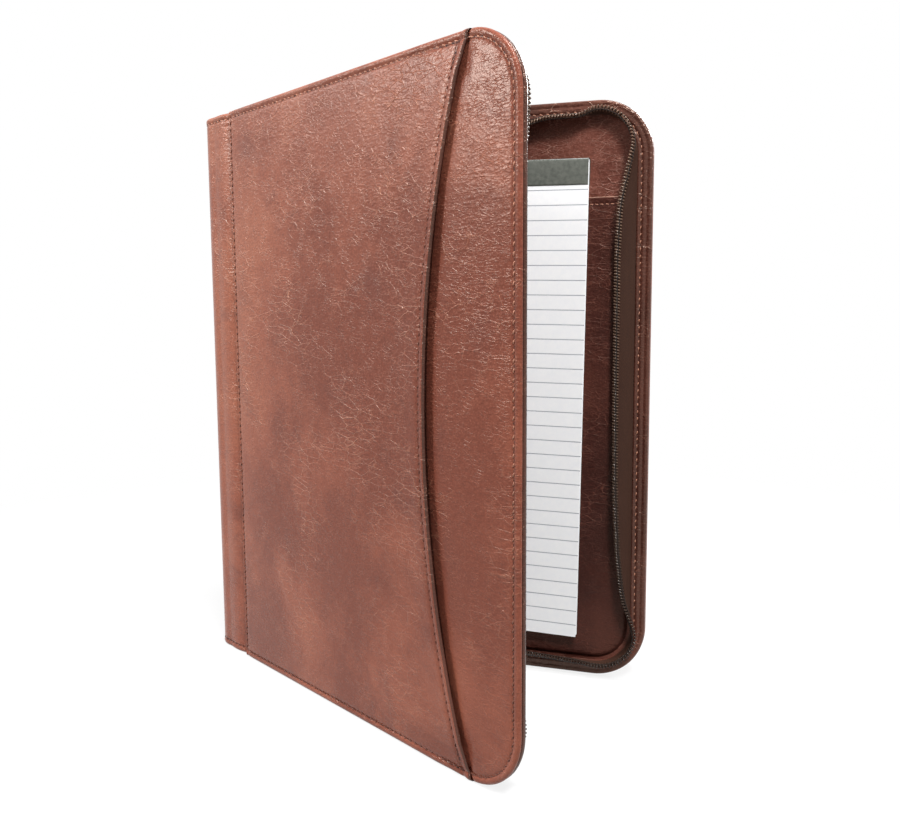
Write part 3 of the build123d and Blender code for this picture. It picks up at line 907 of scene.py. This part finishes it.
def stitch_rows(name, line, out, finish, body, step=4.0, size=2.3, width=0.32):
    lengths = travelled(line) / MM
    count = max(int(lengths[-1] / step), 1)
    centres = (np.arange(count) + 0.5) * lengths[-1] / count
    at = at_lengths(centres, lengths, line)
    ahead = unit(at_lengths(centres + 0.3, lengths, line) - at_lengths(centres - 0.3, lengths, line))
    up = at_lengths(centres, lengths, np.broadcast_to(np.asarray(out, float), line.shape))
    up = unit(up - np.sum(up * ahead, 1)[:, None] * ahead)
    slant = dice.normal(0.3, 0.07, count)[:, None]
    aside = np.cross(ahead, up)
    ahead, aside = ahead + slant * aside, aside - slant * ahead
    long = size * dice.uniform(0.9, 1.06, count)[:, None, None]
    ahead, aside, up, at = ahead[:, None], aside[:, None], up[:, None], at[:, None]
    core = at + MM * (stations * long * ahead + sink * up)
    cosine, sine = circle(around)
    threads = core[:, :, None] + MM * width * swell * (cosine * aside + sine * up)[:, None]
    # Painted shade: a small dark disc sits at each needle hole.
    cosine, sine = circle(hole_around)
    spots = at + MM * (0.5 * step * ahead + 0.05 * up)
    hole_shade_discs = spots + MM * (cosine * ahead * 0.8 + sine * aside * 0.5)
    faces = [[k * stitch_points + corner for corner in face] for k in range(count) for face in stitch_faces]
    faces += (count * stitch_points + np.arange(count * hole_around).reshape(count, -1)).tolist()
    mesh = bpy.data.meshes.new(name)
    mesh.from_pydata(np.concatenate([threads.reshape(-1, 3), hole_shade_discs.reshape(-1, 3)]).tolist(), [], faces)
    mesh.polygons.foreach_set("use_smooth", [True] * len(faces))
    mesh.update()
    piece = settle(bpy.data.objects.new(name, mesh), finish, body)
    mesh.materials.append(hole_shade)
    mesh.polygons.foreach_set("material_index", [0] * (len(faces) - count) + [1] * count)
    return piece


def sewn_edge(name, side, place, inset, depth, start, outward, finish):
    line = place(*ring(inset, start, 160, 40, 160), depth)
    line = line[np.diff(travelled(line), prepend=-1) > 1e-6]
    stitch_rows(name, line, outward, finish, covers[side][1])


sewn_edge("front_rim_stitches", "front", on_front, rim_stitch, 0.22, mouth_end + 2, out_of["front"], thread)
sewn_edge("back_rim_stitches", "back", back_face, rim_stitch, 0.2, seam_at + 4, out_of["back"], thread)
for side in ("front", "back"):
    sewn_edge(side + "_facing_stitches", side, covers[side][0], facing_stitch, 4.62, 3.0, into[side], lining_thread)

ends = (("lower", rim_stitch), ("upper", cover_height - rim_stitch))
u = np.linspace(seam_at + 4, mouth_end - 6, 80)
for name, level in ends:
    stitch_rows(f"pocket_{name}_stitches", on_front(u, level, -0.42), out_of["front"], thread, "front_cover")
v = np.linspace(5, cover_height - 5, 200)
hem_stitch, gape_there = 5.3, 0.905
line = on_front(mouth(v) - hem_stitch, v, -0.38 - gape(v) * gape_there)
stitch_rows("pocket_mouth_stitches", line, out_of["front"], dark_thread, "front_cover", 4.0, 2.2, 0.28)
seam_stitch, seam_level = 2.05, {"front": -0.36, "back": -1.15}
for side, (place, body) in covers.items():
    line = place(seam_at + seam_stitch, v, seam_level[side])
    stitch_rows(side + "_seam_stitches", line, out_of[side], dark_thread, body, 4.0, 2.4, 0.4)
for side, chosen, _ in halves:
    outward = stood(plan_out[chosen], 0) / MM
    for name, level in ends:
        line = stood(plan[chosen] - 0.22 * plan_out[chosen], level)
        sewn = stitch_rows(f"{side}_spine_{name}_stitches", line, outward, thread, None)
        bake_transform(sewn)

# %% [markdown]
# Slip pockets inside are panels sewn along three sides and left open at the top. The panel lies a
# little off the lining, so it is a grid whose depth falls to the lining near each sewn side, with a
# folded hem along the mouth. The pad pocket, the document pocket and the card pockets differ only in
# size and in what they lie on.

# %% Inside pockets
inside_rim = 10.4


def from_edge(u, v):
    over, under = u - (cover_width - corner_radius), corner_radius - v
    rounded = corner_radius - np.hypot(over, under)
    return np.where((over > 0) & (under > 0), rounded, np.minimum(cover_width - u, v))


def right_side(v):
    radius = corner_radius - inside_rim
    drop = np.clip(corner_radius - v, 0, radius)
    return cover_width - corner_radius + np.sqrt(np.maximum(radius * radius - drop * drop, 0))


hem_rows = [
    (-9.0, 0.0), (-6.0, 0.0), (-4.6, -0.06), (-4.0, -0.2), (-3.4, -0.06), (-2.2, 0.08), (-0.8, 0.16), (-0.2, 0.08),
    (0.0, -0.2), (-0.3, -0.5), (-2.5, -0.58),
]
hem_v, hem_bump = np.array(hem_rows).T
sewn_side = np.array([0.0, 0.15, 0.5, 1.0, 1.8, 2.8, 4.0])
shares = np.concatenate([sewn_side, np.linspace(6, 94, 50), 100 - sewn_side[::-1]]) / 100


def pocket_panel(name, side, left, low, high, floor, face, stands_for, right=None):
    place, body = covers[side]
    levels = np.concatenate([low + sewn_side, np.linspace(low + 6, high - 12, 60), high + hem_v])
    bumps = np.concatenate([np.zeros(len(levels) - len(hem_v)), hem_bump])
    rows = []
    for v, bump in zip(levels, bumps):
        end = right or right_side(v)
        u = left + shares * (end - left)
        near = np.minimum(u - left, v - low)
        near = np.minimum(near, end - u if right else from_edge(u, v) - inside_rim)
        lifted = gentle(np.clip(near / 2.2, 0, 1))
        rows.append(place(u, v, floor + (face - floor + bump) * lifted + slack(u, v, 0.05) * lifted))
    panel = skin(name, np.stack(rows), pocket_leather, body, (stands_for,), into[side])
    wide = (right or cover_width - inside_rim) - left
    line = place(np.linspace(left + 1.5, left + wide - 1.5, 120), high - 4.0, face - 0.12)
    stitch_rows(name + "_hem_stitches", line, into[side], lining_thread, body, 3.0, 2.1, 0.3)


pad_pocket_top, document_top = 282.0, 215.0
card_left, card_right, card_height = 22.0, 127.0, 46.0
pocket_panel("pad_slip_pocket", "back", 1.2, inside_rim, pad_pocket_top, 3.56, 5.08, "pad_pocket")
pocket_panel("document_slip_pocket", "front", 1.2, inside_rim, document_top, 3.56, 5.08, "document_pocket")
for name, low in (("lower", 62.0), ("upper", 128.0)):
    high, node = low + card_height, "card_pocket_" + name
    pocket_panel(name + "_card_slot", "front", card_left, low, high, 5.14, 6.62, node, card_right)
hem_line = on_back(np.linspace(2.0, cover_width - 11.2, 90), pad_pocket_top, 5.02)
skin("pad_pocket_cut_edge", tube(hem_line, 0.2 * MM, 6), cut_edge, "back_cover", closed=True)
print("pad pocket mouth is", round(pad_pocket_top), "mm up")

# %% [markdown]
# The writing pad is a stack of sheets bound along the head by a dark strip and stiffened by a card
# that slips into the pocket. It sits about a degree askew, as the real one does. The stack is a set of
# thin leaves that are a hair out of line with each other, which is what gives a pad its soft edge.

# %% Writing pad
pad_left, pad_right, pad_low, pad_high = 4.0, 220.0, 23.0, 302.4
pad_tilt = math.radians(-1.0)
pad_turn_u, pad_turn_v = 219.9, 163.0
pad_raise = 0.8


def on_pad(u, v, depth):
    du, dv = u - pad_turn_u, v - pad_turn_v
    turned_u = pad_turn_u + du * math.cos(pad_tilt) - dv * math.sin(pad_tilt)
    turned_v = pad_turn_v + pad_raise + du * math.sin(pad_tilt) + dv * math.cos(pad_tilt)
    return on_back(turned_u, turned_v, depth)


leaf_count = 18
leaf_floor, leaf_top = 5.22, 9.1
leaf_fill, leaf_set_in, leaf_sway = 0.93, 0.35, 0.16
thick = (leaf_top - leaf_floor) / leaf_count
leaf_points, leaf_faces = [], []
for number in range(leaf_count):
    sway = dice.normal(0, leaf_sway, 4)
    low, high = leaf_floor + number * thick, leaf_floor + (number + leaf_fill) * thick
    across = (pad_left + sway[0], pad_right - leaf_set_in + sway[1])
    upward = (pad_low + leaf_set_in + sway[2], pad_high + 0.1 * sway[3])
    corners = [(u, v, depth) for depth in (low, high) for v in upward for u in across]
    leaf_points.append(on_pad(*np.array(corners).T))
    base = number * 8
    for quad in ((0, 1, 3, 2), (4, 6, 7, 5), (0, 4, 5, 1), (2, 3, 7, 6), (0, 2, 6, 4), (1, 5, 7, 3)):
        leaf_faces.append([base + k for k in quad])
leaf_mesh = bpy.data.meshes.new("pad_leaves")
leaf_mesh.from_pydata(np.concatenate(leaf_points).tolist(), [], leaf_faces)
leaf_mesh.update()
settle(bpy.data.objects.new("pad_leaves", leaf_mesh), plain_paper, "notepad", ("pad_sheets",))

sheet_u, sheet_v = np.meshgrid(np.linspace(pad_left, pad_right, 60), np.linspace(pad_low, pad_high, 80))
curl = np.clip((sheet_u - 150) / 70, 0, 1) ** 2 * np.clip((120 - sheet_v) / 100, 0, 1) ** 2
sheet_chart = np.stack([sheet_u - pad_left, sheet_v - pad_low], -1)
sheet_points = on_pad(sheet_u, sheet_v, leaf_top + 0.06 + 0.7 * curl)
top_sheet = skin(
    "pad_top_sheet", sheet_points, ruled_paper, "notepad", outward=into["back"], around=sheet_chart
)
print("pad of", leaf_count, "leaves,", round(pad_right - pad_left), "by", round(pad_high - pad_low, 1), "mm")

# %% [markdown]
# The binding is a strip of dark book cloth folded over the head of the pad, front to back. The card
# back is a plain board, so its solid stays and only gets a softened edge and a fibre finish.

# %% Pad binding and card back
binding_height = 15.0
binding_low = pad_high + 0.4 - binding_height
section = [(binding_low, 9.16), (binding_low + 0.15, 9.3), (binding_low + 1.0, 9.33)]
over_head = [
    (-1.5, 9.34), (-0.2, 9.28), (0.3, 8.9), (0.38, 7.5), (0.38, 5.5), (0.3, 4.4), (-0.4, 3.74), (-6.0, 3.68),
    (-14.0, 3.68),
]
section += [(pad_high + above, depth) for above, depth in over_head]
binding_u = np.linspace(pad_left, pad_right, 60)
points = np.stack([on_pad(binding_u, v, depth + 0.04 * np.sin(binding_u / 13 + v)) for v, depth in section])
binding = skin("pad_head_binding", points, binding_cloth, "notepad", ("pad_binding",))


def soften(node, finish, width):
    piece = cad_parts[node]
    piece.data.materials.clear()
    piece.data.materials.append(finish)
    edge = piece.modifiers.new("soft edge", "BEVEL")
    edge.width = width * MM
    edge.segments = 3
    edge.limit_method = "ANGLE"
    edge.angle_limit = math.radians(40)


soften("pad_backing", grey_board, 0.15)
for node in ("back_cover_board", "front_cover_board"):
    soften(node, grey_board, 0.2)
print("binding starts", round(binding_low, 1), "mm up")

# %% [markdown]
# The slider and its pull are metal and already the right shape, so the solids stay. A narrow bevel
# rounds their edges so they catch light like cast metal, and the end stops get the same finish.

# %% Slider, pull and stops
for node in ("zip_slider", "zip_pull"):
    soften(node, aged_brass, 0.2)
for node in ("back_zip_stops", "front_zip_stops"):
    soften(node, aged_brass, 0.15)
print("metal pieces: slider, pull and two pairs of stops")

# %% [markdown]
# The pen loop is a short band of woven elastic, sewn to the spine lining so it stands as a ring. It is
# swept as a slightly flattened loop, and thickness is added afterwards, which keeps both edges even.

# %% Pen loop
bulge = np.array([-math.cos(opening / 2), math.sin(opening / 2)])
beside = np.array([-bulge[1], bulge[0]])
loop_low, loop_high, loop_size, loop_thickness = 150.0, 176.0, 6.05, 0.8
loop_middle = spine_middle + 5.8 * bulge
turn = np.linspace(0, 2 * math.pi, 49)[:-1]
loop_shape = loop_middle + loop_size * (np.cos(turn)[:, None] * bulge * 1.02 + np.sin(turn)[:, None] * beside)
loop_v = np.linspace(loop_low + 0.1, loop_high - 0.1, 14)
loop_points = np.stack([stood(loop_shape, v) for v in loop_v])
loop_chart = np.stack(np.meshgrid(turn * loop_size * MM, loop_v * MM), -1)
loop = skin("pen_elastic", loop_points, elastic_web, "spine", ("pen_loop",), None, loop_chart, True)
band = loop.modifiers.new("band thickness", "SOLIDIFY")
band.thickness = loop_thickness * MM
band.offset = 0
print("pen loop opening is", round(2 * loop_size - loop_thickness, 1), "mm")

# %% [markdown]
# The book stands on a plain white table. A floor that simply renders white would need too much light,
# so for the camera the floor is mostly its own white and partly lit, which keeps a soft shadow. The
# world is white to the camera and a plain soft fill to everything else.

# %% Floor and world
def seen_directly(tree):
    path = put(tree, "LightPath").outputs
    both = calc("MAXIMUM", path["Is Camera Ray"], path["Is Glossy Ray"])
    return calc("MAXIMUM", both, path["Is Transmission Ray"])


table_finish = bpy.data.materials.new("white_table")
table_finish.use_nodes = True
tree = table_finish.node_tree
tree.nodes.remove(tree.nodes["Principled BSDF"])
where = put(tree, "NewGeometry").outputs["Position"]
away = put(tree, "VectorMath", {"operation": "LENGTH"}, Vector=where).outputs["Value"]
own_share = plus(0.8, times(away, 0.3), clamp=True)
direct = seen_directly(tree)
lit = put(tree, "BsdfDiffuse", Color=mixed(direct, (0.3, 0.3, 0.3, 1), (0.95, 0.95, 0.95, 1)))
own = put(tree, "Emission", Color=(1, 1, 1, 1), Strength=1.0)
shown_floor = put(tree, "MixShader", Fac=times(direct, own_share))
feed(shown_floor.inputs[1], lit.outputs[0])
feed(shown_floor.inputs[2], own.outputs[0])
feed(tree.nodes["Material Output"].inputs["Surface"], shown_floor.outputs[0])

half_table, table_level = 4.0, -0.0002
table_mesh = bpy.data.meshes.new("table_top")
table_corners = [(half_table * x, half_table * y, table_level) for x, y in ((-1, -1), (1, -1), (1, 1), (-1, 1))]
table_mesh.from_pydata(table_corners, [], [(0, 1, 2, 3)])
table_top = bpy.data.objects.new("table_top", table_mesh)
table_top.data.materials.append(table_finish)
bpy.context.collection.objects.link(table_top)

world = bpy.data.worlds.new("studio")
bpy.context.scene.world = world
world.use_nodes = True
tree = world.node_tree
room = tree.nodes["Background"]
room.inputs["Color"].default_value = (1, 1, 1, 1)
fill_level = 0.08
feed(room.inputs["Strength"], plus(fill_level, times(seen_directly(tree), 1 - fill_level)))
print("world fill", fill_level)

# %% [markdown]
# Five soft lamps do the rest. The key stands at the front left, so the pocket's raised lip throws its
# dark line. A second one from the right reaches in between the covers to the pad, and a small one above
# makes the zip throw its shadow on the lining. The one far to the left glances off the front, which is
# what makes the grain of waxed leather glint, and the last gives the back its plain share. Their levels
# are set so that colours come out about as they are written.

# %% Lamps
lamps = {
    "key": ((-1.31, -0.68, 0.84), 0.35, 16.5),
    "inside_key": ((0.62, -0.82, 1.4), 0.26, 23.0),
    "left_panel": ((-1.42, -0.23, 0.88), 0.26, 1.8),
    "top_panel": ((0.3, -0.3, 1.5), 0.22, 18.0),
    "back_panel": ((0.3, 1.5, 0.95), 0.5, 20.0),
}
middle_of_book = Vector((0.0, -0.05, 0.17))
for name, (place, size, power) in lamps.items():
    lamp = bpy.data.objects.new(name, bpy.data.lights.new(name, "AREA"))
    lamp.data.size = size
    lamp.data.energy = power
    lamp.location = place
    lamp.rotation_euler = (middle_of_book - Vector(place)).to_track_quat("-Z", "Y").to_euler()
    bpy.context.collection.objects.link(lamp)
print("lamps:", ", ".join(lamps))
